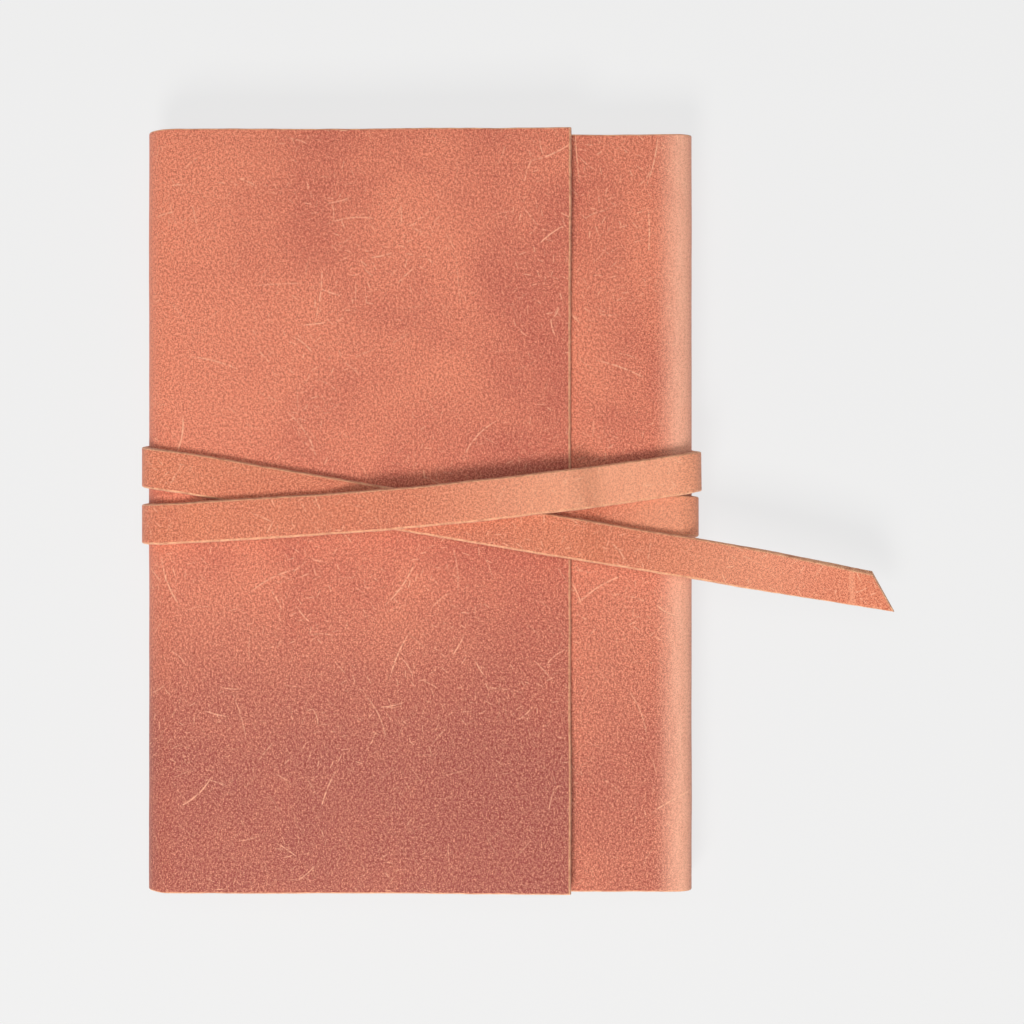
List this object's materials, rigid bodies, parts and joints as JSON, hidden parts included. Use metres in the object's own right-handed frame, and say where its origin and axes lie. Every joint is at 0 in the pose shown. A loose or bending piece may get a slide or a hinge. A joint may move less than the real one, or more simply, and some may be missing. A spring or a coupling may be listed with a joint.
{
  "type": "leather notebook cover",
  "caption": "Wrap-around leather notebook cover with a long front flap, closed over a sewn notebook and tied with a flat leather strap wound twice round it.",
  "frame": {"origin": "on the plane the cover rests on, under the middle of the closed cover, on the underside of the strap's first run across the back", "axes": "+X from the fore-edge fold to the spine, +Y up the cover along its spine, +Z out of the front, away from the surface it lies on"},
  "size_m": [0.2255, 0.226, 0.0285],
  "materials": {
    "cover_leather": "matt, waxed, scuffed pull-up hide",
    "strap_leather": "matt, waxed, raw cut edges",
    "sleeve_leather": "matt, thin split hide",
    "thread": "waxed linen thread",
    "notebook_board": "matt pressed card",
    "paper": "uncoated ivory writing paper"
  },
  "bodies": {
    "root": {"back_panel": "cover_leather", "back_sleeve": "sleeve_leather", "back_sleeve_stitching_top": "thread", "back_sleeve_stitching_bottom": "thread", "notebook_back_board": "notebook_board", "page_signature_1": "paper", "page_signature_2": "paper", "page_signature_3": "paper"},
    "fore_edge": {"fore_edge_fold": "cover_leather"},
    "flap": {"flap_panel": "cover_leather"},
    "spine": {"spine_panel": "cover_leather", "notebook_spine": "notebook_board"},
    "front": {"front_panel": "cover_leather", "front_sleeve": "sleeve_leather", "front_sleeve_stitching_top": "thread", "front_sleeve_stitching_bottom": "thread", "notebook_front_board": "notebook_board"},
    "pages": {"page_signature_4": "paper", "page_signature_5": "paper", "page_signature_6": "paper"},
    "strap": {"strap_root_run": "strap_leather", "strap_spine_turn_1": "strap_leather", "strap_back_run_1": "strap_leather", "strap_fold_turn_1": "strap_leather", "strap_over_run": "strap_leather", "strap_spine_turn_2": "strap_leather", "strap_back_run_2": "strap_leather", "strap_fold_turn_2": "strap_leather", "strap_under_run": "strap_leather"},
    "strap_tail": {"strap_tail": "strap_leather"}
  },
  "joints": [
    {"name": "front_fold", "type": "hinge", "parent": "spine", "child": "front", "pos_m": [0.07884, 0, 0.01804], "axis": [0, 1, 0], "range_deg": [0, 90]},
    {"name": "spine_fold", "type": "hinge", "parent": "root", "child": "spine", "pos_m": [0.07884, 0, 0.00396], "axis": [0, 1, 0], "range_deg": [0, 90.1], "deforming": ["spine_panel"]},
    {"name": "fore_edge_crease", "type": "hinge", "parent": "root", "child": "fore_edge", "pos_m": [-0.07891, 0, 0.00504], "axis": [0, -1, 0], "range_deg": [0, 90.1], "deforming": ["fore_edge_fold"]},
    {"name": "flap_crease", "type": "hinge", "parent": "fore_edge", "child": "flap", "pos_m": [-0.07891, 0, 0.01926], "axis": [0, -1, 0], "range_deg": [0, 90.1], "deforming": ["flap_panel"]},
    {"name": "page_turn", "type": "hinge", "parent": "root", "child": "pages", "pos_m": [0.0773, 0, 0.011], "axis": [0, 1, 0], "range_deg": [0, 180.1]},
    {"name": "strap_slide", "type": "slide", "parent": "root", "child": "strap", "axis": [0, -1, 0], "range_m": [0, 0.152], "deforming": ["strap_root_run", "strap_spine_turn_1", "strap_fold_turn_1", "strap_over_run", "strap_spine_turn_2", "strap_fold_turn_2", "strap_under_run"]},
    {"name": "tail_lift", "type": "hinge", "parent": "strap", "child": "strap_tail", "pos_m": [0.084, -0.01459, 0.0232], "axis": [-0.165, -0.9863, 0], "range_deg": [-15, 60], "deforming": ["strap_tail"]}
  ],
  "couplings": [
    {"joint": "spine_fold", "follows": "front_fold", "ratio": 1},
    {"joint": "fore_edge_crease", "follows": "front_fold", "ratio": 1},
    {"joint": "flap_crease", "follows": "front_fold", "ratio": 1},
    {"joint": "page_turn", "follows": "front_fold", "ratio": 2},
    {"joint": "strap_slide", "follows": "front_fold", "m_per_rad": 0.096}
  ]
}
